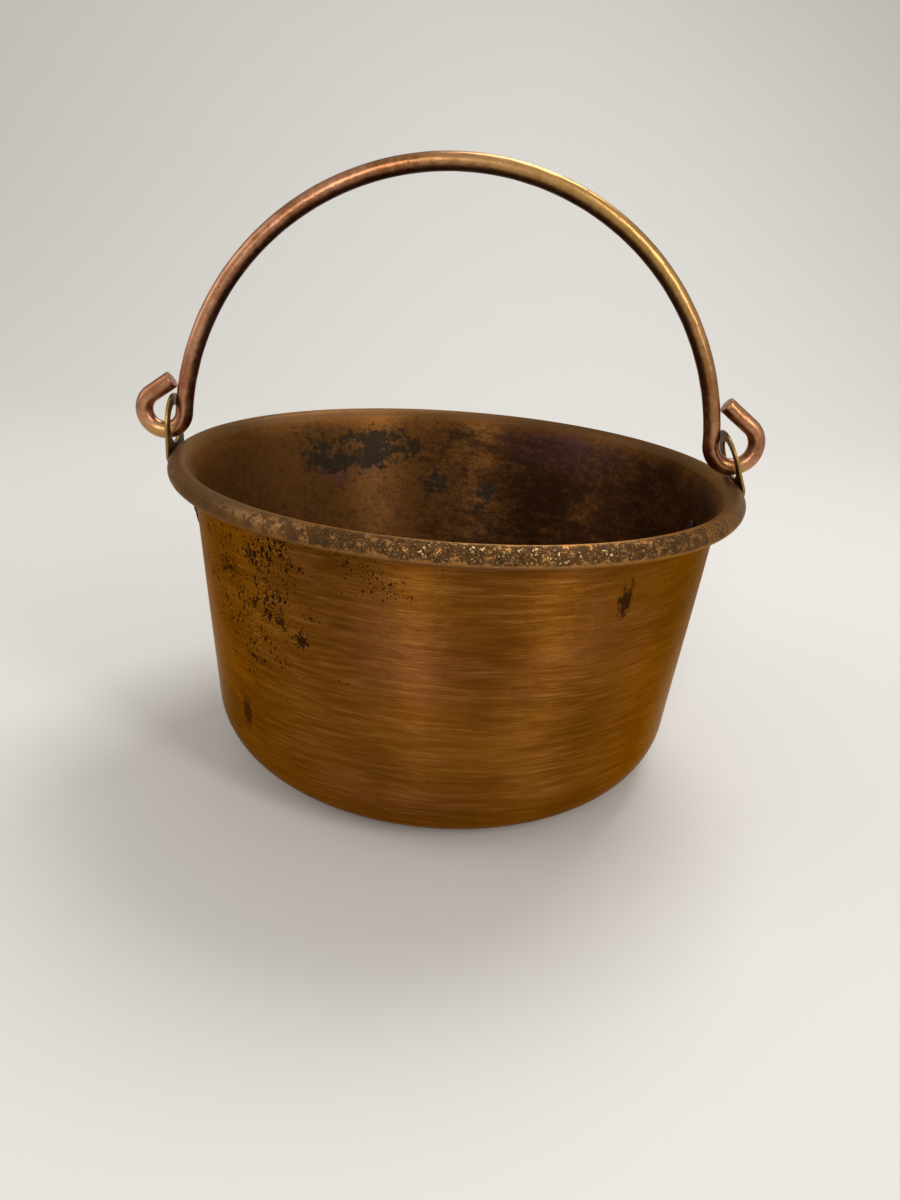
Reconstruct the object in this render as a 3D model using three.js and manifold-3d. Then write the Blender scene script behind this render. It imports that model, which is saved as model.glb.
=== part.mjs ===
// A small spun copper cauldron: a one-piece pot with a wired rim, two riveted ears and a swinging bail.
// Millimetres, +Z up. The origin is the centre of the flat base, and +X runs through the right ear.
import * as THREE from 'three';
import { mergeVertices } from 'three/addons/utils/BufferGeometryUtils.js';
import Module from 'manifold-3d';

const wasm = await Module();
wasm.setup();

// Driving dimensions of the pot
const rimDiameter = 165; // over the rolled bead
const potHeight = 90; // base to the top of the bead
const sheet = 0.8; // copper sheet of the pot
const wallTaper = THREE.MathUtils.degToRad(4.9); // the wall's lean from upright
const cornerRadius = 20.4; // outside, between the base and the wall
const flareRadius = 12; // where the wall eases out into the bead
const flareHeading = THREE.MathUtils.degToRad(40); // the sheet's lean where the bead starts
const beadDiameter = 5.6; // over the rolled sheet
const curlEnd = THREE.MathUtils.degToRad(330); // the sheet's turn from upright where the roll stops

// Driving dimensions of the ears and their rivets
const earSheet = 0.8;
const earWidth = 17;
const eyeHole = 10.4;
const footDrop = 26; // the foot's lower edge below the rim
const footFlat = 0.6; // the straight part of the foot's round lower edge
const earSlant = THREE.MathUtils.degToRad(38); // the lean of the strip from the wall out to the bead
const earBend = 3; // inside the bend above the foot
const rivetEdge = 4.2; // from a rivet's middle to the ear's edge
const rivetDrop = 18; // below the rim
const shankDiameter = 2.8;
const headDiameter = 5.4;
const headHeight = 1.3;
const clinchDiameter = 5; // the flattened inner end
const clinchHeight = 0.6;

// Driving dimensions of the bail
const bailWire = 5;
const bailRise = 79.2; // the wire's centre at the crown, above the rim
const hookRadius = 6.7; // the right hook, to the wire's centre
const leftHookRadius = 5.9; // the left hook is curled tighter
const hookReach = 1.1; // the hook's centre outside the bead
const hookOpen = THREE.MathUtils.degToRad(58); // where the hook's round part ends, above level
const bailShift = -3; // how far the bail has slid along its axis, towards the left ear

// Clearances
const seatGap = 0.3; // between pieces that sit on each other
const hookGap = 0.35; // between the hook and the bead
const eyeGap = 0.4; // under the wire in the ear's eye
const legGap = 0.75; // between the ear's top and the bail's leg
const tipGap = 0.5; // between the hook's tip and the bail's leg

// Facets
const roundSegments = 64;
const wireSides = 10;
const bailSteps = 130;
const rivetSides = 12;
const overrun = 3; // how far a cutting shape runs past what it cuts

const rimRadius = rimDiameter / 2;
const beadRadius = beadDiameter / 2;
const wireRadius = bailWire / 2;
const beadCentre = new THREE.Vector2(rimRadius - beadRadius, potHeight - beadRadius);

// The wall's inner face runs straight from the base corner to the flare, which meets the bead smoothly.
const flareCentre = along(beadCentre, -flareHeading, flareRadius - beadRadius);
const wallTop = along(flareCentre, -wallTaper, -flareRadius);
const cornerInside = cornerRadius - sheet;
const wallFootHeight = cornerRadius - cornerInside * Math.sin(wallTaper);
const wallFoot = new THREE.Vector2(wallRadius(wallFootHeight), wallFootHeight);
const flatRadius = wallFoot.x - cornerInside * Math.cos(wallTaper);

// The right hook's round part hangs just over the bead, and the bail's arch runs smoothly into it.
const hookX = rimRadius + hookReach;
const hookClear = hookRadius + wireRadius + beadRadius + hookGap;
const hookAside = Math.min(...[-1, 1].map((side) => Math.abs(hookX + side * bailShift - beadCentre.x)));
const hookZ = beadCentre.y + Math.sqrt(hookClear ** 2 - hookAside ** 2);
const crownZ = potHeight + bailRise;
const archReach = crownZ + hookRadius;
const archZ = (archReach ** 2 - hookX ** 2 - hookZ ** 2) / (2 * (archReach - hookZ));
const archRadius = crownZ - archZ;
const hookLow = hookZ - hookRadius;

// The ear's eye hangs round the wire, inside the hook.
const eyeZ = hookLow - wireRadius - eyeGap + eyeHole / 2;
const earTop = eyeZ + earWidth / 2;
const earWrap = beadRadius + seatGap;
const footCorner = (earWidth - footFlat) / 2;
const rivetSpread = earWidth - 2 * rivetEdge;
const legOutside = Math.sqrt(archRadius ** 2 - (earTop - archZ) ** 2) + wireRadius;

const copper = finish(0xb0682c, 0.32);
const rivetCopper = finish(0x8f6a3c, 0.5);
const bailCopper = finish(0x9a5c3c, 0.35);
const brass = finish(0x8a6a2e, 0.42);
const steel = finish(0x6b6660, 0.6);

function finish(color, roughness) {
  return new THREE.MeshStandardMaterial({ color, roughness, metalness: 1 });
}

// The point at a distance from another in the direction of an angle, in the radius and height plane.
function along(from, angle, distance) {
  return new THREE.Vector2(from.x + distance * Math.cos(angle), from.y + distance * Math.sin(angle));
}

// The radius of the wall's inner face at a height, on its straight part.
function wallRadius(height) {
  return wallTop.x - (wallTop.y - height) * Math.tan(wallTaper);
}

// An ear leans in over the rim until its top is just clear of the leg beside it. The lean is that of a
// straight line which leaves the bend round the bead smoothly and ends at the ear's top.
function earLean(side) {
  const reach = legOutside + side * bailShift + legGap - beadCentre.x;
  const rise = earTop - beadCentre.y;
  return Math.atan2(rise, reach) - Math.acos(earWrap / Math.hypot(reach, rise));
}

// How far a round wall falls back from its tangent plane at a distance to the side.
function sagitta(radius, aside) {
  return radius - Math.sqrt(radius ** 2 - aside ** 2);
}

// A strip of sheet bent along a path in the radius and height plane. The path is the sheet's left face,
// looking along it, and the thickness lies to its right.
class SheetPath {
  constructor(start, heading) {
    this.at = start.clone();
    this.heading = heading;
    this.stations = [];
    this.mark();
  }

  mark() {
    this.stations.push({ point: this.at.clone(), heading: this.heading });
  }

  line(length) {
    this.at = along(this.at, this.heading, length);
    this.mark();
    return this;
  }

  // A positive turn goes left, and the radius is that of the path itself.
  arc(radius, turn, steps) {
    const side = Math.sign(turn) * Math.PI / 2;
    const centre = along(this.at, this.heading + side, radius);
    const start = this.heading;
    for (let step = 1; step <= steps; step += 1) {
      this.heading = start + turn * step / steps;
      this.at = along(centre, this.heading - side, radius);
      this.mark();
    }
    return this;
  }

  // The closed outline, along the right face and back along the left one.
  outline(thickness) {
    const left = this.stations.map(({ point }) => point);
    const right = this.stations.map(({ point, heading }) => along(point, heading - Math.PI / 2, thickness));
    return [...right, ...left.reverse()];
  }
}

// Turns an outline about the pot's upright axis.
function revolve(outline, segments) {
  return new THREE.LatheGeometry(outline, segments).rotateX(Math.PI / 2);
}

// A closed geometry as a solid for cutting.
function toSolid(geometry) {
  const bare = geometry.clone();
  bare.deleteAttribute('normal');
  bare.deleteAttribute('uv');
  const merged = mergeVertices(bare, 1e-4);
  const corners = merged.index ? [...merged.index.array] : [];
  const triangles = [];
  for (let i = 0; i < corners.length; i += 3) {
    const [a, b, c] = corners.slice(i, i + 3);
    if (a !== b && b !== c && c !== a) triangles.push(a, b, c);
  }
  const vertProperties = new Float32Array(merged.attributes.position.array);
  const triVerts = new Uint32Array(triangles);
  return new wasm.Manifold(new wasm.Mesh({ numProp: 3, vertProperties, triVerts }));
}

function toGeometry(solid) {
  const mesh = solid.getMesh();
  const geometry = new THREE.BufferGeometry();
  geometry.setAttribute('position', new THREE.BufferAttribute(mesh.vertProperties, 3));
  geometry.setIndex(new THREE.BufferAttribute(mesh.triVerts, 1));
  return geometry;
}

function piece(name, geometry, surface) {
  const mesh = new THREE.Mesh(geometry, surface);
  mesh.name = name;
  return mesh;
}

// The axis of a rivet of the right ear: its own +Z is square to the ear's foot, from the foot's inner face.
function rivetPlace(aside) {
  const height = potHeight - rivetDrop;
  const seat = along(new THREE.Vector2(wallRadius(height), height), -wallTaper, sheet + seatGap);
  return new THREE.Matrix4().makeTranslation(seat.x, aside, seat.y)
    .multiply(new THREE.Matrix4().makeRotationY(Math.PI / 2 + wallTaper));
}

// The holes of both rivets of the right ear, through its foot and the wall behind it.
function rivetHoles() {
  const radius = shankDiameter / 2 + seatGap;
  const length = 2 * (sheet + earSheet + overrun);
  const hole = new THREE.CylinderGeometry(radius, radius, length, rivetSides).rotateX(Math.PI / 2);
  const [front, back] = [-rivetSpread / 2, rivetSpread / 2]
    .map((aside) => toSolid(hole.clone().applyMatrix4(rivetPlace(aside))));
  return front.add(back);
}

// The pot is one spun sheet: flat base, round corner, straight wall, flare and a roll open at its seam.
function potShell() {
  const path = new SheetPath(new THREE.Vector2(0, sheet), 0)
    .line(flatRadius)
    .arc(cornerInside, Math.PI / 2 - wallTaper, 6)
    .line(wallFoot.distanceTo(wallTop))
    .arc(flareRadius, wallTaper - flareHeading, 3)
    .arc(beadRadius, flareHeading - curlEnd, 12);
  const holes = rivetHoles();
  const shell = toSolid(revolve(path.outline(sheet), roundSegments))
    .subtract(holes)
    .subtract(holes.rotate([0, 0, 180]));
  return piece('pot_shell', toGeometry(shell), copper);
}

// The wire that the rim is rolled round.
function rimWire() {
  const radius = beadRadius - sheet - seatGap;
  const section = [];
  for (let side = 0; side <= wireSides; side += 1) {
    section.push(along(beadCentre, 2 * Math.PI * side / wireSides, radius));
  }
  return piece('rim_wire', revolve(section, roundSegments), steel);
}

// The ear seen from outside, across and up: a strip with a round top, an eye and rounded lower corners.
function earFace() {
  const half = earWidth / 2;
  const inset = half - footCorner;
  const low = potHeight - footDrop;
  const shape = new THREE.Shape();
  shape.moveTo(-inset, low);
  shape.lineTo(inset, low);
  shape.absarc(inset, low + footCorner, footCorner, -Math.PI / 2, 0, false);
  shape.lineTo(half, eyeZ);
  shape.absarc(0, eyeZ, half, 0, Math.PI, false);
  shape.lineTo(-half, low + footCorner);
  shape.absarc(-inset, low + footCorner, footCorner, Math.PI, 1.5 * Math.PI, false);
  const hole = new THREE.Path();
  hole.absarc(0, eyeZ, eyeHole / 2, 0, 2 * Math.PI, true);
  shape.holes.push(hole);
  return shape;
}

// The ear seen from its edge: up the wall, out under the bead, round it and up with a lean over the rim.
function earEdge(lean) {
  const low = potHeight - footDrop - overrun;
  const upWall = Math.PI / 2 - wallTaper;
  const upSlant = Math.PI / 2 - earSlant;
  const turn = upWall - upSlant;
  const start = along(new THREE.Vector2(wallRadius(low), low), -wallTaper, sheet + seatGap);
  const apart = along(beadCentre, -earSlant, earWrap).sub(start);
  const footRun = (apart.y * Math.cos(upSlant) - apart.x * Math.sin(upSlant)) / Math.sin(turn);
  const slantRun = (apart.x * Math.sin(upWall) - apart.y * Math.cos(upWall)) / Math.sin(turn);
  const bendRadius = earBend + earSheet;
  const bendRun = bendRadius * Math.tan(turn / 2);
  const path = new SheetPath(start, upWall)
    .line(footRun - bendRun)
    .arc(bendRadius, -turn, 4)
    .line(slantRun - bendRun)
    .arc(earWrap, earSlant + lean, 6)
    .line(earTop - beadCentre.y + overrun);
  return new THREE.Shape(path.outline(earSheet));
}

// One ear: the bent strip cut to the shape of its face, with holes for its rivets.
function earGeometry(lean) {
  const across = new THREE.Vector3(0, 1, 0);
  const up = new THREE.Vector3(0, 0, 1);
  const out = new THREE.Vector3(1, 0, 0);
  const width = earWidth + 2 * overrun;
  const strip = new THREE.ExtrudeGeometry(earEdge(lean), { depth: width, bevelEnabled: false });
  strip.translate(0, 0, -width / 2);
  strip.applyMatrix4(new THREE.Matrix4().makeBasis(out, up, across.clone().negate()));
  const blank = new THREE.ExtrudeGeometry(earFace(), {
    depth: 2 * rimRadius, bevelEnabled: false, curveSegments: 12,
  });
  blank.applyMatrix4(new THREE.Matrix4().makeBasis(across, up, out));
  return toGeometry(toSolid(strip).intersect(toSolid(blank)).subtract(rivetHoles()));
}

// A rivet along its own +Z: flattened end inside the pot, shank, and a domed head outside the ear.
function rivetGeometry() {
  const shank = shankDiameter / 2;
  const clinch = clinchDiameter / 2;
  const head = headDiameter / 2;
  const wallBack = sagitta(wallRadius(potHeight - rivetDrop), rivetSpread / 2 + clinch);
  const inside = -sheet - 2 * seatGap - wallBack;
  const outside = earSheet + seatGap;
  const dome = (head ** 2 + headHeight ** 2) / (2 * headHeight);
  const domeAngle = Math.asin(head / dome);
  const domeSteps = 4;
  const profile = [
    new THREE.Vector2(0, inside - clinchHeight),
    new THREE.Vector2(clinch - clinchHeight / 2, inside - clinchHeight),
    new THREE.Vector2(clinch, inside - clinchHeight / 2),
    new THREE.Vector2(clinch, inside),
    new THREE.Vector2(shank, inside),
    new THREE.Vector2(shank, outside),
  ];
  for (let step = 0; step <= domeSteps; step += 1) {
    const angle = domeAngle * (1 - step / domeSteps);
    const height = outside + headHeight - dome * (1 - Math.cos(angle));
    profile.push(new THREE.Vector2(dome * Math.sin(angle), height));
  }
  return revolve(profile, rivetSides);
}

// A hook of the bail, for the right-hand end: its round part leaves the arch smoothly and is as low as the
// other's. Its tip runs straight on from the round part until its lower edge is close to the leg.
function hook(radius) {
  const height = hookLow + radius;
  const centre = new THREE.Vector2(Math.sqrt((archRadius + radius) ** 2 - (height - archZ) ** 2), height);
  const from = Math.atan2(height - archZ, centre.x);
  const tipStart = along(centre, hookOpen, radius);
  const tipHeading = hookOpen + Math.PI / 2;
  const lowerEdge = along(tipStart, hookOpen, -wireRadius).sub(new THREE.Vector2(0, archZ));
  const closing = lowerEdge.dot(along(new THREE.Vector2(), tipHeading, 1));
  const reach = archRadius + wireRadius + tipGap;
  const tipRun = -closing - Math.sqrt(closing ** 2 - lowerEdge.lengthSq() + reach ** 2);
  return { centre, radius, from, tipStart, tip: along(tipStart, tipHeading, tipRun) };
}

// The bail's centre line in its upright plane, from the left hook's tip to the right one's.
function bailLine() {
  const left = hook(leftHookRadius);
  const right = hook(hookRadius);
  const mirror = (point) => new THREE.Vector2(-point.x, point.y);
  const round = (centre, radius, start, end, clockwise) =>
    new THREE.EllipseCurve(centre.x, centre.y, radius, radius, start, end, clockwise);
  const arch = new THREE.Vector2(0, archZ);
  const line = new THREE.CurvePath();
  line.add(new THREE.LineCurve(mirror(left.tip), mirror(left.tipStart)));
  line.add(round(mirror(left.centre), left.radius, Math.PI - hookOpen, 2 * Math.PI - left.from, false));
  line.add(round(arch, archRadius, Math.PI - left.from, right.from, true));
  line.add(round(right.centre, right.radius, Math.PI + right.from, 2 * Math.PI + hookOpen, false));
  line.add(new THREE.LineCurve(right.tipStart, right.tip));
  return line;
}

// A flat curve stood upright in the plane of the bail.
class UprightCurve extends THREE.Curve {
  constructor(flat) {
    super();
    this.flat = flat;
  }

  getPoint(t, target = new THREE.Vector3()) {
    const point = this.flat.getPoint(t);
    return target.set(point.x, 0, point.y);
  }
}

function bail() {
  const section = new THREE.Shape().absarc(0, 0, wireRadius, 0, 2 * Math.PI, false);
  const geometry = new THREE.ExtrudeGeometry(section, {
    steps: bailSteps, extrudePath: new UprightCurve(bailLine()), curveSegments: wireSides / 2,
  });
  const mesh = piece('bail', geometry, bailCopper);
  mesh.position.x = bailShift;
  return mesh;
}

// The two ears are half a turn apart, each with a front and a back rivet. The side is 1 on the right.
function earAndRivets(name, side) {
  const group = new THREE.Group();
  group.rotation.z = side > 0 ? 0 : Math.PI;
  group.add(piece(`${name}_ear`, earGeometry(earLean(side)), brass));
  const front = -side * rivetSpread / 2;
  for (const [place, aside] of [['front', front], ['back', -front]]) {
    const rivet = piece(`${name}_ear_rivet_${place}`, rivetGeometry(), rivetCopper);
    rivet.applyMatrix4(rivetPlace(aside));
    group.add(rivet);
  }
  return group;
}

const cauldron = new THREE.Group();
cauldron.add(potShell(), rimWire(), earAndRivets('left', -1), earAndRivets('right', 1), bail());

export default cauldron;
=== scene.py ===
"""Dresses a small spun copper cauldron: its pot, ears, rivets and swinging bail.

Each piece is a surface worked out from the same sizes as its CAD solid. Metres, +Z up, the origin in
the middle of the flat base, and +X through the right ear.
"""

from __future__ import annotations

import logging
from collections.abc import Mapping, Sequence
from dataclasses import dataclass, field
from enum import Enum
from math import acos, asin, atan2, cos, hypot, pi, radians, sin, sqrt, tan
from typing import Any

import bpy
import numpy as np
from mathutils import Matrix
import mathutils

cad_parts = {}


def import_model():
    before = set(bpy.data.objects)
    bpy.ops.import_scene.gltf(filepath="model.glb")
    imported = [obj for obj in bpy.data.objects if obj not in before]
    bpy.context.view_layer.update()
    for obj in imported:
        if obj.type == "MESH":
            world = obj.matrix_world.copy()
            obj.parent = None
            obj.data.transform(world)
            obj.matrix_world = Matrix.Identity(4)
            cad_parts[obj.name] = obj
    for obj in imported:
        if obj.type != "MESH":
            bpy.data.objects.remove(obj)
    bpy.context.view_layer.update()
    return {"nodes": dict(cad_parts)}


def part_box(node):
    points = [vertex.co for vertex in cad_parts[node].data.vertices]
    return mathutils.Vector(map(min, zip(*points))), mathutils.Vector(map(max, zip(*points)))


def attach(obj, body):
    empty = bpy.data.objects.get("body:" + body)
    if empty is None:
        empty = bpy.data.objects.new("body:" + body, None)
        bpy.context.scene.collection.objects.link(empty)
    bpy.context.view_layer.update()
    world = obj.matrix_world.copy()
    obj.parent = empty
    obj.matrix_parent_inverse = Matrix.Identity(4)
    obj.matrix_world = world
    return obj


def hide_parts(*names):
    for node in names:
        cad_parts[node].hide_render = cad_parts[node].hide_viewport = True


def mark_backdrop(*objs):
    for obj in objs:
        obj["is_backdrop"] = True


LOG = logging.getLogger("cauldron")
MM = 0.001
Array = np.ndarray
Vector = tuple[float, float, float]
Scale = tuple[float, float]


class Side(Enum):
    """The end of the bail's axis that a piece is at."""

    LEFT = -1
    RIGHT = 1


class Close(Enum):
    """How the rows of a surface end: each in a point, or the last one in the first."""

    POLES = "poles"
    RING = "ring"


class Slot(Enum):
    """The record's material slots."""

    POT = "pot_copper"
    WIRE = "rim_steel"
    EAR = "ear_brass"
    RIVET = "rivet_copper"
    BAIL = "bail_copper"


def direction(angle: Array | float) -> Array:
    """The unit vectors of angles in a plane: the cosine and the sine of each."""
    return np.stack([np.cos(angle), np.sin(angle)], axis=-1)


def smooth(value: Array, low: float, high: float) -> Array:
    """A smooth step: 0 up to low, 1 from high, and three squares less two cubes of the share between."""
    share = np.clip((value - low) / (high - low), 0, 1)
    return share * share * (3 - 2 * share)


def swell(across: Array, along: Array, waves: int, seed: int) -> Array:
    """A gentle unevenness over two parameters, from -1 to 1.

    It is the mean of sine waves, each with its own whole number of turns across, rate along and phase,
    so it closes on itself where the first parameter goes once round.

    Args:
        across: The parameter that goes round, in radians.
        along: The other parameter, in radians of the slowest wave.
        waves: How many waves are added.
        seed: What the waves are drawn from.

    Returns:
        The unevenness at each point.
    """
    draw = np.random.RandomState(seed)
    turns = draw.randint(-9, 10, waves)
    rates = draw.uniform(-4, 4, waves)
    phases = draw.uniform(0, 2 * pi, waves)
    angle = across[..., None] * turns + along[..., None] * rates + phases
    return np.sin(angle).mean(axis=-1) * 2


class Trace:
    """A smooth line in a plane, laid down from its start as straight runs and arcs.

    Headings are the line's directions at its points, in radians from the plane's first axis.
    """

    def __init__(self, start: Sequence[float], heading: float) -> None:
        """Starts the line at a point with a heading."""
        self.points: Array = np.array([start], float)
        self.headings: Array = np.array([heading], float)

    def _add(self, points: Array, headings: Array) -> Trace:
        """Adds points and their headings to the line's end."""
        self.points = np.concatenate([self.points, points])
        self.headings = np.concatenate([self.headings, headings])
        return self

    def line(self, length: float, steps: int) -> Trace:
        """Runs straight on: each point is the last one plus a share of the length along its heading."""
        heading = self.headings[-1]
        run = np.linspace(0, length, steps + 1)[1:, None]
        return self._add(self.points[-1] + run * direction(heading), np.full(steps, heading))

    def arc(self, radius: float, turn: float, steps: int) -> Trace:
        """Runs round a circle, to the left for a positive turn.

        The centre lies square to the heading on the turn's side. Each point is the centre plus the radius
        the other way from a heading that turns evenly.

        Args:
            radius: The circle's radius.
            turn: How far the heading turns, in radians.
            steps: How many points are added.

        Returns:
            The line itself.
        """
        side = np.sign(turn) * pi / 2
        start = self.headings[-1]
        centre = self.points[-1] + radius * direction(start + side)
        headings = start + turn * np.linspace(0, 1, steps + 1)[1:]
        return self._add(centre + radius * direction(headings - side), headings)

    def beside(self, distance: float) -> Array:
        """The line's points, each moved square to its heading, to the right."""
        return self.points + distance * direction(self.headings - pi / 2)


@dataclass(frozen=True)
class Surface:
    """A closed surface over a grid of points, whose columns always go once round.

    Attributes:
        name: The object's name.
        points: The grid, rows by columns by three.
        close: How the rows end.
        marks: Numbers for each row that the surface's material reads.
    """

    name: str
    points: Array
    close: Close
    marks: Mapping[str, Array] = field(default_factory=dict)

    def _faces(self) -> tuple[Array, Array]:
        """Joins neighbouring grid points into quads, and each end row to its pole in triangles."""
        rows, columns = self.points.shape[:2]
        grid = np.arange(rows * columns).reshape(rows, columns)
        low, high = grid[:-1], grid[1:]
        if self.close is Close.RING:
            low, high = grid, np.roll(grid, -1, axis=0)
        ahead_low, ahead_high = np.roll(low, -1, axis=1), np.roll(high, -1, axis=1)
        quads = np.stack([low, ahead_low, ahead_high, high], axis=-1).reshape(-1, 4)
        if self.close is Close.RING:
            return quads, np.zeros((0, 3), int)
        first, last = grid[0], grid[-1]
        start = np.stack([np.full(columns, rows * columns), np.roll(first, -1), first], axis=-1)
        end = np.stack([np.full(columns, rows * columns + 1), last, np.roll(last, -1)], axis=-1)
        return quads, np.concatenate([start, end])

    def _corners(self) -> Array:
        """The grid's points in a row, and after them the poles, each the mean of its end row."""
        corners = self.points.reshape(-1, 3)
        if self.close is Close.RING:
            return corners
        return np.concatenate([corners, self.points[[0, -1]].mean(axis=1)])

    def build(self) -> bpy.types.Object:
        """Makes the object, with smooth faces that point out of the volume it closes."""
        corners = self._corners()
        quads, fans = self._faces()
        halves = np.concatenate([quads[:, [0, 1, 2]], quads[:, [0, 2, 3]], fans])
        a, b, c = (corners[halves[:, i]] for i in range(3))
        if np.einsum("ij,ij->", a, np.cross(b, c)) < 0:
            quads, fans = quads[:, ::-1], fans[:, ::-1]
        mesh = bpy.data.meshes.new(self.name)
        mesh.vertices.add(len(corners))
        mesh.vertices.foreach_set("co", corners.astype(np.float32).ravel())
        mesh.loops.add(quads.size + fans.size)
        mesh.loops.foreach_set("vertex_index", np.concatenate([quads.ravel(), fans.ravel()]).astype(np.int32))
        starts = [4 * np.arange(len(quads)), quads.size + 3 * np.arange(len(fans))]
        mesh.polygons.add(len(quads) + len(fans))
        mesh.polygons.foreach_set("loop_start", np.concatenate(starts).astype(np.int32))
        mesh.polygons.foreach_set("use_smooth", np.ones(len(quads) + len(fans), bool))
        mesh.update(calc_edges=True)
        mesh.validate()
        columns = self.points.shape[1]
        for name, rows in self.marks.items():
            values = np.repeat(rows, columns)
            if self.close is Close.POLES:
                values = np.concatenate([values, rows[[0, -1]]])
            mark = mesh.attributes.new(name, "FLOAT", "POINT")
            mark.data.foreach_set("value", values.astype(np.float32))
        piece = bpy.data.objects.new(self.name, mesh)
        bpy.context.scene.collection.objects.link(piece)
        return piece


def revolve(profile: Array, columns: int) -> Array:
    """Turns a profile of radii and heights about +Z.

    A point at an angle is the radius times its cosine and sine, at the profile's height.

    Args:
        profile: The radii and heights, one row each.
        columns: How many points go round.

    Returns:
        The grid of points.
    """
    angle = 2 * pi * np.arange(columns) / columns
    around = profile[:, :1, None] * direction(angle)
    upright = np.broadcast_to(profile[:, 1, None, None], (len(profile), columns, 1))
    return np.concatenate([around, upright], axis=-1)


class Value:
    """A number that a material works out at each point. Expressions on it add Math nodes."""

    def __init__(self, shader: Shader, socket: bpy.types.NodeSocket) -> None:
        """Wraps an output socket of a shader's tree."""
        self.shader = shader
        self.socket = socket

    def _math(self, operation: str, *terms: Value | float) -> Value:
        """One Math node on the terms."""
        return self.shader.node("ShaderNodeMath", {"operation": operation}, dict(enumerate(terms)))

    def __add__(self, other: Value | float) -> Value:
        """This plus other."""
        return self._math("ADD", self, other)

    def __radd__(self, other: float) -> Value:
        """Other plus this."""
        return self._math("ADD", other, self)

    def __sub__(self, other: Value | float) -> Value:
        """This less other."""
        return self._math("SUBTRACT", self, other)

    def __rsub__(self, other: float) -> Value:
        """Other less this."""
        return self._math("SUBTRACT", other, self)

    def __mul__(self, other: Value | float) -> Value:
        """This times other."""
        return self._math("MULTIPLY", self, other)

    def top(self, other: Value | float) -> Value:
        """The greater of this and other."""
        return self._math("MAXIMUM", self, other)

    def length(self, other: Value) -> Value:
        """The length of the vector of this and other: the root of the sum of their squares."""
        return self._math("SQRT", self * self + other * other)

    def angle(self, other: Value) -> Value:
        """The angle whose tangent is this over other, in radians."""
        return self._math("ARCTAN2", self, other)

    def step(self, low: float, high: float) -> Value:
        """A smooth step from 0 at low to 1 at high."""
        sockets = {"Value": self, "From Min": low, "From Max": high}
        return self.shader.node("ShaderNodeMapRange", {"interpolation_type": "SMOOTHSTEP"}, sockets)

    def band(self, low: float, high: float, soft: float) -> Value:
        """1 between low and high, easing to 0 over a soft width outside both."""
        return self.step(low - soft, low) * (1 - self.step(high, high + soft))


Paint = Value | str


def paint(code: str) -> tuple[float, float, float, float]:
    """The linear colour of a six-figure screen colour: each part by the sRGB curve."""
    parts = np.array([int(code[i : i + 2], 16) for i in (0, 2, 4)]) / 255
    linear = np.where(parts <= 0.04045, parts / 12.92, ((parts + 0.055) / 1.055) ** 2.4)
    return (float(linear[0]), float(linear[1]), float(linear[2]), 1.0)


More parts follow.
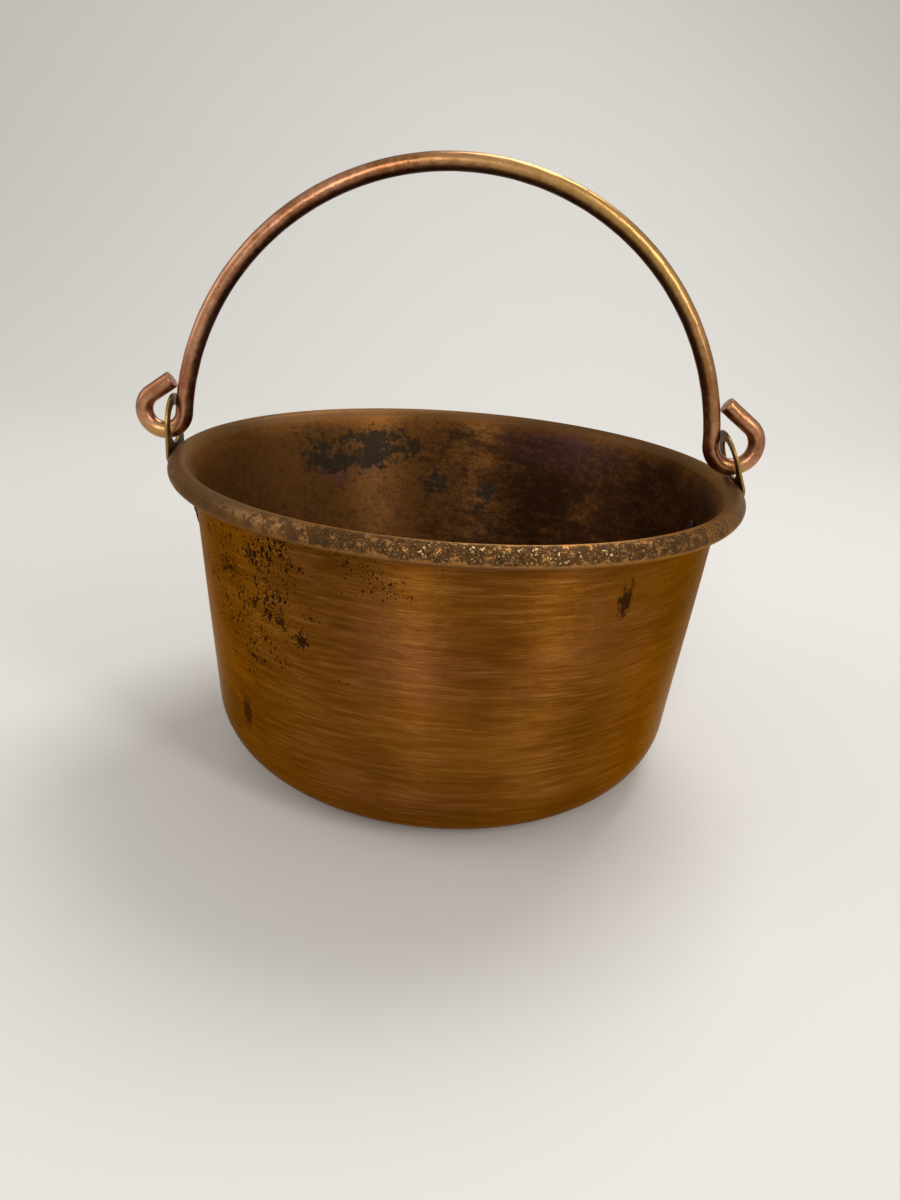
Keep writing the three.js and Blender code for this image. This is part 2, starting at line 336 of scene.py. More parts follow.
class Shader:
    """A material being written, node by node."""

    def __init__(self, name: str) -> None:
        """Starts an empty material."""
        self.material = bpy.data.materials.new(name)
        self.material.use_nodes = True
        self._tree = self.material.node_tree
        self._tree.nodes.clear()

    def node(
        self, kind: str, settings: Mapping[str, Any], sockets: Mapping[int | str, Any], output: int | str = 0
    ) -> Value:
        """Adds a node.

        Args:
            kind: The node's type.
            settings: Its settings, which are set first.
            sockets: The value or link of each input, by name or number.
            output: The output that is wanted.

        Returns:
            That output.
        """
        node = self._tree.nodes.new(kind)
        for key, setting in settings.items():
            setattr(node, key, setting)
        for key, value in sockets.items():
            if isinstance(value, Value):
                self._tree.links.new(value.socket, node.inputs[key])
            else:
                node.inputs[key].default_value = value
        return Value(self, node.outputs[output])

    def place(self) -> Value:
        """The point on the piece, in millimetres of the row frame."""
        return self.stretch(self.node("ShaderNodeTexCoord", {}, {}, "Object"), (1000, 1000, 1000))

    def stretch(self, vector: Value, scale: Vector) -> Value:
        """A vector times another, part by part."""
        return self.node("ShaderNodeVectorMath", {"operation": "MULTIPLY"}, {0: vector, 1: scale})

    def shift(self, vector: Value, by: Vector) -> Value:
        """A vector plus another."""
        return self.node("ShaderNodeVectorMath", {"operation": "ADD"}, {0: vector, 1: by})

    def split(self, vector: Value) -> tuple[Value, Value, Value]:
        """The three parts of a vector."""
        part = self.node("ShaderNodeSeparateXYZ", {}, {0: vector})
        x, y, z = (Value(self, socket) for socket in part.socket.node.outputs)
        return x, y, z

    def join(self, x: Value | float, y: Value | float, z: Value | float) -> Value:
        """The vector of three numbers."""
        return self.node("ShaderNodeCombineXYZ", {}, {0: x, 1: y, 2: z})

    def apart(self, vector: Value, point: Vector) -> Value:
        """The distance of a vector from a point."""
        return self.node("ShaderNodeVectorMath", {"operation": "DISTANCE"}, {0: vector, 1: point}, "Value")

    def around(self, at: Value, middle: Vector, across: float, up: float) -> Value:
        """The distance from a point, in units that are one length across and another one up."""
        x, y, z = middle
        scaled = self.stretch(at, (1 / across, 1 / across, 1 / up))
        return self.apart(scaled, (x / across, y / across, z / up))

    def noise(self, vector: Value, detail: float = 2.0, rough: float = 0.5, bend: float = 0.0) -> Value:
        """Cloudy noise from 0 to 1, one lump to each unit of the vector."""
        sockets = {"Vector": vector, "Scale": 1.0, "Detail": detail, "Roughness": rough, "Distortion": bend}
        return self.node("ShaderNodeTexNoise", {}, sockets)

    def cloudy(
        self, at: Value, scale: Scale, detail: float = 2.0, rough: float = 0.5, bend: float = 0.0
    ) -> Value:
        """Cloudy noise with so many lumps to a millimetre, across and up."""
        across, up = scale
        return self.noise(self.stretch(at, (across, across, up)), detail, rough, bend)

    def cells(self, at: Value, scale: Scale) -> Value:
        """The distance from the nearest of scattered points, so many to a millimetre, across and up."""
        across, up = scale
        vector = self.stretch(at, (across, across, up))
        return self.node("ShaderNodeTexVoronoi", {}, {"Vector": vector, "Scale": 1.0, "Randomness": 1.0})

    def mark(self, name: str) -> Value:
        """A number that the surface carries."""
        return self.node("ShaderNodeAttribute", {"attribute_name": name}, {}, "Fac")

    def blend(self, share: Value | float, first: Paint, second: Paint) -> Value:
        """A mix of two colours, all of the second where the share is 1. Screen colours are made linear."""
        start, end = (paint(colour) if isinstance(colour, str) else colour for colour in (first, second))
        return self.node("ShaderNodeMix", {"data_type": "RGBA"}, {0: share, 6: start, 7: end}, 2)

    def bump(self, height: Value, depth: float) -> Value:
        """The normal of a surface raised by a height from 0 to 1, times a depth in millimetres."""
        return self.node("ShaderNodeBump", {}, {"Strength": 1.0, "Distance": depth * MM, "Height": height})

    def finish(
        self,
        colour: Value,
        metal: Value | float,
        rough: Value,
        normal: Value,
        fixed: Mapping[str, Any] | None = None,
    ) -> bpy.types.Material:
        """Ends the material in its shader.

        Args:
            colour: The base colour.
            metal: How metallic it is.
            rough: Its roughness.
            normal: Its normal.
            fixed: Other numbers and colours of the shader, the same all over.

        Returns:
            The material.
        """
        sockets = {"Base Color": colour, "Metallic": metal, "Roughness": rough, "Normal": normal}
        sockets.update(fixed or {})
        surface = self.node("ShaderNodeBsdfPrincipled", {}, sockets)
        self.node_out(surface)
        return self.material

    def node_out(self, surface: Value) -> None:
        """Links a shader to the material's output."""
        out = self._tree.nodes.new("ShaderNodeOutputMaterial")
        self._tree.links.new(surface.socket, out.inputs["Surface"])


class Room(Shader):
    """The light of the room around, written node by node as a material is."""

    def __init__(self, name: str) -> None:
        """Starts an empty world."""
        self.world = bpy.data.worlds.new(name)
        self.world.use_nodes = True
        self._tree = self.world.node_tree
        self._tree.nodes.clear()

    def light(self, level: float, seen: float) -> bpy.types.World:
        """Ends the world in its background.

        Args:
            level: The strength that lights the pieces.
            seen: The strength where the room is seen, straight, in metal or through glass.

        Returns:
            The world.
        """
        kinds = ("Is Camera Ray", "Is Glossy Ray", "Is Transmission Ray")
        camera, glossy, through = (self.node("ShaderNodeLightPath", {}, {}, kind) for kind in kinds)
        strength = level + camera.top(glossy).top(through) * (seen - level)
        warm_white = (1.0, 0.99, 0.97, 1.0)
        back = self.node("ShaderNodeBackground", {}, {"Color": warm_white, "Strength": strength})
        out = self._tree.nodes.new("ShaderNodeOutputWorld")
        self._tree.links.new(back.socket, out.inputs["Surface"])
        return self.world


@dataclass(frozen=True)
class Layer:
    """One finish of a material that has several: its colour, roughness, height and metal share."""

    colour: Value
    rough: Value
    height: Value
    metal: Value

    def under(self, share: Value, other: Layer) -> Layer:
        """This layer with another one over it, all of the other where the share is 1."""
        pairs = ((self.rough, other.rough), (self.height, other.height), (self.metal, other.metal))
        mixed = [mine * (1 - share) + theirs * share for mine, theirs in pairs]
        return Layer(share.shader.blend(share, self.colour, other.colour), *mixed)


@dataclass(frozen=True)
class PotCopper:
    """Spun copper: streaky and polished outside, scaled and worn on the bead, burnt inside, with painted
    reflection, shade and glints on the bead, and painted shade and a painted highlight in the lining.

    Attributes:
        glance: The metal's colour where it is seen edge-on.
        brushed: How far its highlights are stretched.
        brush_turn: The turn of that stretch, as a share of a full one.
        depth: The depth of its relief in millimetres.
    """

    bright: str = "ae7c3e"
    warm: str = "865216"
    deep: str = "5c330a"
    speck: str = "24130a"
    worn: str = "a67644"
    tan: str = "72553a"
    scale: str = "583a1c"
    crust: str = "26170b"
    # Flecks in the bead's crust: bare copper, and painted glints.
    fleck_and_glint: str = "ecd08c"
    umber: str = "7a5026"
    rust: str = "985a20"
    soot: str = "25271f"
    # Heat tint in the lining, and the painted highlight high on its right.
    lilac: str = "6e4a48"
    # Dark char in the lining, and the painted shade on its right side.
    char_and_painted_shade: str = "2e160a"
    rosy: str = "8e5436"
    glance: str = "e4c49e"
    brushed: float = 0.92
    brush_turn: float = 0.25
    depth: float = 0.1

    def _spots(self, shader: Shader, at: Value) -> Value:
        """Dark pits in the polish: scattered, thick under the rim on the left, and a few single stains."""
        near = 1 - shader.apart(at, (-53, -52, 68)).step(6, 50)
        rim = (1 - shader.apart(at, (-22, -73, 83)).step(3, 30)) * 0.75
        edge = 1 - shader.apart(at, (-44, -61, 83)).step(4, 24)
        crowd = near.top(rim).top(edge)
        ragged = shader.cloudy(at, (0.62, 0.5), 7.0, 0.7)
        dust = shader.cloudy(at, (1.5, 1.2), 4.0, 0.62)
        clumps = shader.cloudy(at, (0.13, 0.16), 3.0, 0.6)
        flecks = shader.cells(at, (0.62, 0.46)) + (dust - 0.5) * 0.8
        grit = shader.cells(at, (1.5, 1.15)) + (dust - 0.5) * 0.6
        pits = (crowd * 0.33 + (clumps - 0.5) * 1.2 - 0.08 - flecks).step(0.0, 0.06)
        pits = pits.top((crowd * 0.41 + (clumps - 0.5) * 1.0 - 0.06 - grit).step(0.0, 0.08))
        blots = (
            ((40, -63.2, 72.8), 3.0, 7.4, 0.36),
            ((-53.9, -46.1, 27.7), 3.6, 7.0, 0.34),
            ((-42.5, -60.5, 60.5), 4.2, 3.0, 0.46),
            ((-37.0, -63.8, 57.0), 2.6, 3.4, 0.42),
            ((-50.0, -54.4, 63.0), 3.0, 2.2, 0.48),
        )
        for middle, wide, tall, limit in blots:
            away = shader.around(at, middle, wide, tall)
            pits = pits.top((ragged * 1.2 + dust * 0.9 - away * 0.62).step(limit + 0.26, limit + 0.4) * 0.85)
        return pits

    def _wall(self, shader: Shader, at: Value) -> Layer:
        """The polished outside.

        Args:
            shader: The material.
            at: The point on the pot.

        Returns:
            The layer.
        """
        x, y, z = shader.split(at)
        level = z + shader.cloudy(at, (0.03, 0.05), 2.0) * 3.0
        tool = shader.noise(shader.join(x * 0.06, y * 0.06, level * 0.8), 4.0, 0.62)
        fine = shader.noise(shader.join(x * 0.1, y * 0.1, level * 4.6), 3.0, 0.6)
        wave = shader.noise(shader.join(x * 0.24, y * 0.24, level * 0.8), 3.0, 0.55)
        cloud = shader.cloudy(at, (0.022, 0.045), 4.0, 0.6)
        spots = self._spots(shader, at)
        warmth = (cloud * 0.85 + tool * 0.35).step(0.3, 0.86)
        colour = shader.blend(warmth, self.deep, self.warm)
        blush = shader.noise(shader.shift(shader.stretch(at, (0.026, 0.026, 0.03)), (17, 5, 3)), 3.0, 0.6)
        colour = shader.blend((blush + tool * 0.2).step(0.56, 0.76) * 0.3, colour, self.rosy)
        colour = shader.blend((fine * 0.7 + tool * 0.5).step(0.56, 0.86) * 0.5, colour, self.bright)
        colour = shader.blend(spots * 0.92, colour, self.speck)
        upper = z.step(24, 74)
        rough = 0.13 + upper * 0.17 + tool * 0.12 + fine * 0.12 + cloud * 0.06 + spots * 0.3
        height = wave * (0.6 + upper * 2.0) + tool * 0.45 + fine * 0.22 - spots * 0.2
        return Layer(colour, rough, height, 1 - spots * 0.05)

    def _bead(self, shader: Shader, at: Value, turn: Value) -> Layer:
        """The rolled bead: copper where it is rubbed, tan elsewhere, with a ragged crust over its outer side.
        Its lighter top is partly a painted reflection, its darker outer side, underside and back are partly
        painted shade, and its bright flecks are partly painted glints.

        Args:
            shader: The material.
            at: The point on the pot.
            turn: The angle round the bead from its top, outwards.

        Returns:
            The layer.
        """
        x, y, _ = shader.split(at)
        mottle = shader.cloudy(at, (0.32, 0.32), 7.0, 0.72)
        grain = shader.cloudy(at, (1.3, 1.3), 5.0, 0.68)
        dull = shader.cloudy(at, (0.03, 0.03), 2.0)
        front = 1 - (y - x * 0.2).step(-76, -44)
        ragged = (mottle - 0.5) * 1.7 + (grain - 0.5) * 1.2
        # Lighter tan over the top and darker scale down the outer side: partly real scale, partly a painted
        # reflection on the top and painted shade on the side.
        tan = shader.blend((turn + ragged * 1.2).step(0.3, 1.7), self.tan, self.scale)
        worn = shader.blend(mottle.step(0.45, 0.65) * 0.5, self.worn, self.tan)
        colour = shader.blend(front * (0.75 + dull * 0.25), tan, worn)
        # Darker towards the underside: painted shade.
        colour = shader.blend(turn.step(1.8, 2.7) * 0.45, colour, self.deep)
        # Darker scale over the back of the bead: painted shade.
        back = (y + (mottle - 0.5) * 60).step(10, 70)
        colour = shader.blend(back * 0.75, colour, self.scale)
        crust = turn.band(0.3, 1.75, 0.55) * (0.5 + front * 0.5)
        crust = (crust * 0.46 + ragged).step(0.26, 0.42)
        caked = (grain * 0.8 + mottle * 0.3).step(0.47, 0.63)
        cake = shader.blend(caked, self.crust, self.scale)
        colour = shader.blend(crust * (0.6 + front * 0.32), colour, cake)
        # Bright gold flecks in the crust, kept to a patch at the front (bare): copper showing through, and
        # painted glints.
        bare = 1 - shader.apart(at, (16, -80, 88)).step(14, 50)
        flecks = (grain * 0.75 + mottle * 0.4).step(0.635, 0.72) * crust * bare
        colour = shader.blend(flecks * 0.75, colour, self.fleck_and_glint)
        rough = 0.28 + mottle * 0.14 + crust * 0.24 - flecks * 0.28 + (1 - front) * 0.05
        height = mottle * 0.9 + grain * 0.7 + crust * 0.7
        metal = 1 - (crust - flecks).top(0) * 0.4 - (1 - front) * 0.2
        return Layer(colour, rough, height, metal)

    def _lining(self, shader: Shader, at: Value) -> Layer:
        """The burnt inside: brown and rusty on the left, a sooty band under the rim, and darker on the right,
        which is partly painted shade, with a painted highlight in a lilac patch high on the right.

        Args:
            shader: The material.
            at: The point on the pot.

        Returns:
            The layer.
        """
        x, y, z = shader.split(at)
        patch = shader.cloudy(at, (0.05, 0.06), 8.0, 0.72, 0.4)
        moved = shader.shift(shader.stretch(at, (0.085, 0.085, 0.11)), (31, 7, 13))
        other = shader.noise(moved, 8.0, 0.72, 0.3)
        flake = shader.cloudy(at, (0.4, 0.5), 6.0, 0.75)
        grain = shader.cloudy(at, (1.4, 1.4), 4.0, 0.7)
        right = x.step(-30, 30)
        rusty = ((patch - 0.5) * 0.8 + (flake - 0.5) * 0.8 + (grain - 0.5) * 0.4).step(0.0, 0.16)
        colour = shader.blend(rusty, self.umber, self.rust)
        streak = shader.noise(shader.join(x * 0.12, y * 0.12, z * 0.5), 6.0, 0.7)
        # The right * 0.32 term darkens the right side: painted shade; the noise terms are real char.
        burnt = (other - 0.5) * 0.8 + right * 0.32 - 0.12 + (streak - 0.5) * 0.6
        burnt = burnt + (flake - 0.5) * 0.5 + (grain - 0.5) * 0.3
        colour = shader.blend(burnt.step(-0.14, 0.3) * 0.9, colour, self.char_and_painted_shade)
        # A lilac patch high on the right (the first mask): partly heat tint, partly a painted highlight.
        lilac_tint_and_highlight = 1 - shader.around(at, (40, 63, 84), 30, 14).step(0.3, 1.1)
        haze = 1 - shader.around(at, (-38, 63, 71), 16, 10).step(0.3, 1.1)
        colour = shader.blend(lilac_tint_and_highlight.top(haze) * other.step(0.36, 0.6) * 0.6, colour, self.lilac)
        band = 1 - shader.around(at, (-35, 65, 76), 29, 9).step(0.35, 1.25)
        drip = 1 - shader.around(at, (12.9, 71.6, 59), 6, 8).step(0.2, 1.2)
        blot = 1 - shader.around(at, (-6, 72.4, 63), 7, 10).step(0.2, 1.2)
        broken = (patch - 0.5) * 1.6 + (other - 0.5) * 1.2 + (flake - 0.5) * 1.4
        sooty = (broken + band.top(drip.top(blot)) * 0.5).step(0.2, 0.42)
        colour = shader.blend(sooty * 0.9, colour, self.soot)
        colour = shader.blend((grain * 0.6 + flake * 0.6).step(0.5, 0.72) * 0.5, colour, self.char_and_painted_shade)
        dents = shader.cells(at, (0.075, 0.075))
        rough = 0.36 + other * 0.25 + sooty * 0.1
        height = dents * 1.4 + grain * 0.3 + flake * 0.3
        return Layer(colour, rough, height, 0.75 - sooty * 0.35)

    def material(self, pot: PotShell) -> bpy.types.Material:
        """Writes the material.

        Args:
            pot: The pot, for where its bead is.

        Returns:
            The material, which reads the pot's mark "inside".
        """
        shader = Shader("pot_copper")
        at = shader.place()
        x, y, z = shader.split(at)
        within = shader.mark("inside")
        out = x.length(y) - pot.bead_centre[0] / MM
        rise = z - pot.bead_centre[1] / MM
        rolled = (1 - out.length(rise).step(2.95, 3.5)) * (1 - within * 0.4)
        layer = self._wall(shader, at).under(within, self._lining(shader, at))
        layer = layer.under(rolled, self._bead(shader, at, out.angle(rise)))
        fixed = {
            "Anisotropic": self.brushed,
            "Anisotropic Rotation": self.brush_turn,
            "Specular Tint": paint(self.glance),
        }
        normal = shader.bump(layer.height, self.depth)
        return shader.finish(layer.colour, layer.metal, layer.rough, normal, fixed)


@dataclass(frozen=True)
class BailCopper:
    """A drawn copper rod, browned by hands, gold over its crown and under its loops, which is partly rubbed
    wear and partly painted highlight, with painted shade on the arch's inner side.
    """

    brown: str = "885534"
    pink: str = "ba8666"
    # Rubbed gold, and the painted highlight on the crown and painted reflection under the loops.
    gold_wear_and_highlight: str = "b28a4c"
    dark: str = "2a180d"
    # Painted shade on the arch's inner side.
    under: str = "3c2010"

    def material(self, bail: Bail) -> bpy.types.Material:
        """Writes the material.

        Args:
            bail: The bail, for where its inner side is.

        Returns:
            The material.
        """
        shader = Shader("bail_copper")
        at = shader.place()
        x, _, z = shader.split(at)
        cloud = shader.cloudy(at, (0.05, 0.05), 4.0, 0.6)
        grain = shader.cloudy(at, (0.5, 0.5), 6.0, 0.7)
        nicks = shader.cloudy(at, (1.1, 1.1), 3.0, 0.6)
        # Gold over the crown, right of the middle, and under the loops: partly rubbed wear, partly a painted
        # highlight on the crown and painted reflection under the loops.
        crown = shader.apart(at, (40, 0, 160)).step(0, 100)
        bearing = z.step(91, 98)
        rubbed_and_highlit = (1 - crown).top((1 - bearing) * 0.8)
        rubbed_and_highlit = (rubbed_and_highlit * 0.75 + cloud * 0.3 + grain * 0.35).step(0.36, 1.1)
        bare = (cloud * 0.7 + grain * 0.5).step(0.45, 0.75)
        colour = shader.blend(bare, self.brown, self.pink)
        colour = shader.blend(rubbed_and_highlit * 0.78, colour, self.gold_wear_and_highlight)
        # Darker on the arch's inner side, under the rod: painted shade.
        out = (x - bail.middle / MM).length(z - bail.arch_z / MM) - (bail.crown - bail.arch_z) / MM
        under = (1 - (out + (grain - 0.5) * 1.6).step(-1.9, 0.5)) * z.step(100, 124)
        colour = shader.blend(under * 0.8, colour, self.under)
        stain = (grain * 0.8 + nicks * 0.4).step(0.68, 0.8)
        colour = shader.blend(stain * 0.75, colour, self.dark)
        rough = 0.18 + cloud * 0.12 + grain * 0.12 + stain * 0.25 + under * 0.12
        height = grain * 0.6 + nicks * 0.35 - stain * 0.4
        return shader.finish(colour, 1 - stain * 0.4, rough, shader.bump(height, 0.06))


@dataclass(frozen=True)
class EarBrass:
    """Thin brass sheet, darkened in blotches and bright along its edges, with painted shade over its foot
    under the bead.
    """

    brass: str = "80602a"
    # Dark blotches, and the painted shade on the foot under the bead.
    dark: str = "33220f"
    edge: str = "9c7a40"

    def material(self) -> bpy.types.Material:
        """Writes the material, which reads the ear's mark "edge"."""
        shader = Shader("ear_brass")
        at = shader.place()
        cloud = shader.cloudy(at, (0.12, 0.12), 5.0, 0.65)
        grain = shader.cloudy(at, (0.9, 0.9), 5.0, 0.7)
        lines = shader.noise(shader.stretch(at, (0.25, 4.0, 0.25)), 2.0)
        dull = (cloud * 0.8 + grain * 0.4).step(0.5, 0.75)
        colour = shader.blend(dull, self.brass, self.dark)
        _, _, z = shader.split(at)
        # Darker below the bead, over the foot under it: painted shade.
        colour = shader.blend((1 - z.step(78, 92)) * 0.85, colour, self.dark)
        rub = (shader.mark("edge") * 0.6 + grain * 0.5).step(0.6, 0.9) * z.step(80, 92)
        colour = shader.blend(rub, colour, self.edge)
        rough = 0.34 + cloud * 0.2 - rub * 0.12
        metal = 1 - cloud.step(0.5, 0.8) * 0.25
        return shader.finish(colour, metal, rough, shader.bump(grain * 0.6 + lines * 0.3, 0.05))


@dataclass(frozen=True)
class RivetCopper:
    """Hammered copper, brown in its dents."""

    copper: str = "9a6a38"
    brown: str = "47301a"
    burnt: str = "22140a"

    def material(self, pot: PotShell) -> bpy.types.Material:
        """Writes the material.

        Args:
            pot: The pot, for which side of its wall is burnt.

        Returns:
            The material.
        """
        shader = Shader("rivet_copper")
        at = shader.place()
        x, y, z = shader.split(at)
        cloud = shader.cloudy(at, (0.35, 0.35), 5.0, 0.65)
        dents = shader.cells(at, (0.8, 0.8))
        dull = (cloud * 0.8 + dents * 0.3).step(0.45, 0.75)
        colour = shader.blend(dull, self.copper, self.brown)
        within = 1 - (x.length(y) - (z * tan(pot.taper) + pot.wall_radius(0.0) / MM)).step(-0.1, 0.3)
        colour = shader.blend(within * (0.85 + cloud * 0.15), colour, self.burnt)
        rough = 0.34 + cloud * 0.22 + within * 0.25
        return shader.finish(colour, 0.9 - within * 0.3, rough, shader.bump(dents * 0.7 + cloud * 0.5, 0.12))


@dataclass(frozen=True)
class WireSteel:
    """Drawn wire with a film of rust."""

    steel: str = "4a4642"
    rust: str = "6b3f22"

    def material(self) -> bpy.types.Material:
        """Writes the material."""
        shader = Shader("rim_steel")
        at = shader.place()
        cloud = shader.cloudy(at, (0.2, 0.2), 5.0, 0.65)
        grain = shader.cloudy(at, (1.5, 1.5), 3.0)
        rusty = cloud.step(0.48, 0.62)
        colour = shader.blend(rusty, self.steel, self.rust)
        return shader.finish(colour, 1 - rusty * 0.7, 0.4 + rusty * 0.4, shader.bump(grain, 0.05))


@dataclass(frozen=True)
class PotShell:
    """The pot: one spun sheet with a flat base, round corner, straight wall, flare and rolled bead.

    Attributes:
        rim: The radius over the bead.
        height: The height of the bead's top.
        sheet: The sheet's thickness.
        taper: The wall's lean from upright.
        corner: The outside radius between the base and the wall.
        flare: The radius of the inner face where the wall eases into the bead.
        flare_lean: The sheet's lean where the bead starts.
        bead: The bead's radius.
        curl_end: The sheet's turn from upright where the roll stops.
        uneven: The size of its unevenness.
        inwards: How far that is set inwards, as a share of its size.
        columns: How many points go round.
    """

    rim: float
    height: float
    sheet: float = 0.8 * MM
    taper: float = radians(4.9)
    corner: float = 20.4 * MM
    flare: float = 12 * MM
    flare_lean: float = radians(40)
    bead: float = 2.8 * MM
    curl_end: float = radians(330)
    uneven: float = 0.09 * MM
    inwards: float = 0.35
    columns: int = 360

    @classmethod
    def from_frame(cls) -> PotShell:
        """The pot of the CAD shell's radius and height."""
        _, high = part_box("pot_shell")
        return cls(rim=high.x, height=high.z)

    @property
    def bead_centre(self) -> Array:
        """The radius and height of the bead's middle."""
        return np.array([self.rim - self.bead, self.height - self.bead])

    @property
    def wall_top(self) -> Array:
        """Where the wall's inner face starts to flare."""
        flare_centre = self.bead_centre + (self.flare - self.bead) * direction(-self.flare_lean)
        return flare_centre - self.flare * direction(-self.taper)

    def wall_radius(self, height: float) -> float:
        """The radius of the wall's inner face at a height, on its straight part."""
        top = self.wall_top
        return float(top[0] - (top[1] - height) * tan(self.taper))

    def _inner(self) -> tuple[Trace, int]:
        """The sheet's inner face from the base's middle into the roll, and its points before the flare."""
        inside = self.corner - self.sheet
        foot_height = self.corner - inside * sin(self.taper)
        foot = np.array([self.wall_radius(foot_height), foot_height])
        flat = foot[0] - inside * cos(self.taper)
        trace = Trace((0, self.sheet), 0.0).line(flat, 10).arc(inside, pi / 2 - self.taper, 24)
        trace.line(float(np.linalg.norm(self.wall_top - foot)), 32)
        straight = len(trace.points)
        trace.arc(self.flare, self.taper - self.flare_lean, 10)
        trace.arc(self.bead, self.flare_lean - self.curl_end, 44)
        return trace, straight

    def build(self) -> bpy.types.Object:
        """Makes the pot.

        The profile runs out along the sheet's outer face, round its end in the roll and back along the inner
        face, and is turned about +Z. Every radius then gets a swell of up to about a tenth of a millimetre
        that fades out at the base, as spun sheet has, set inwards so that the rim stays inside the CAD box.

        Returns:
            The pot's object, with the mark "inside", 1 on the lining and easing to 0 over the lip.
        """
        trace, straight = self._inner()
        outer = trace.beside(self.sheet)
        profile = np.concatenate([outer[1:], trace.points[:0:-1]])
        lip = smooth(trace.headings, radians(25), radians(84))
        lip[:straight] = 1
        inside = np.concatenate([np.zeros(len(outer) - 1), lip[:0:-1]])
        points = revolve(profile, self.columns)
        angle = np.broadcast_to(2 * pi * np.arange(self.columns) / self.columns, points.shape[:2])
        level = points[..., 2] / self.height * pi
        fade = smooth(points[..., 2], 4 * MM, 20 * MM)
        uneven = (swell(angle, level, 14, 7) - self.inwards) * fade
        points[..., :2] *= (1 + self.uneven / self.rim * uneven)[..., None]
        piece = Surface("pot_skin", points, Close.POLES, {"inside": inside}).build()
        piece.data.materials.append(PotCopper().material(self))
        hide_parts("pot_shell")
        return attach(piece, "pot")


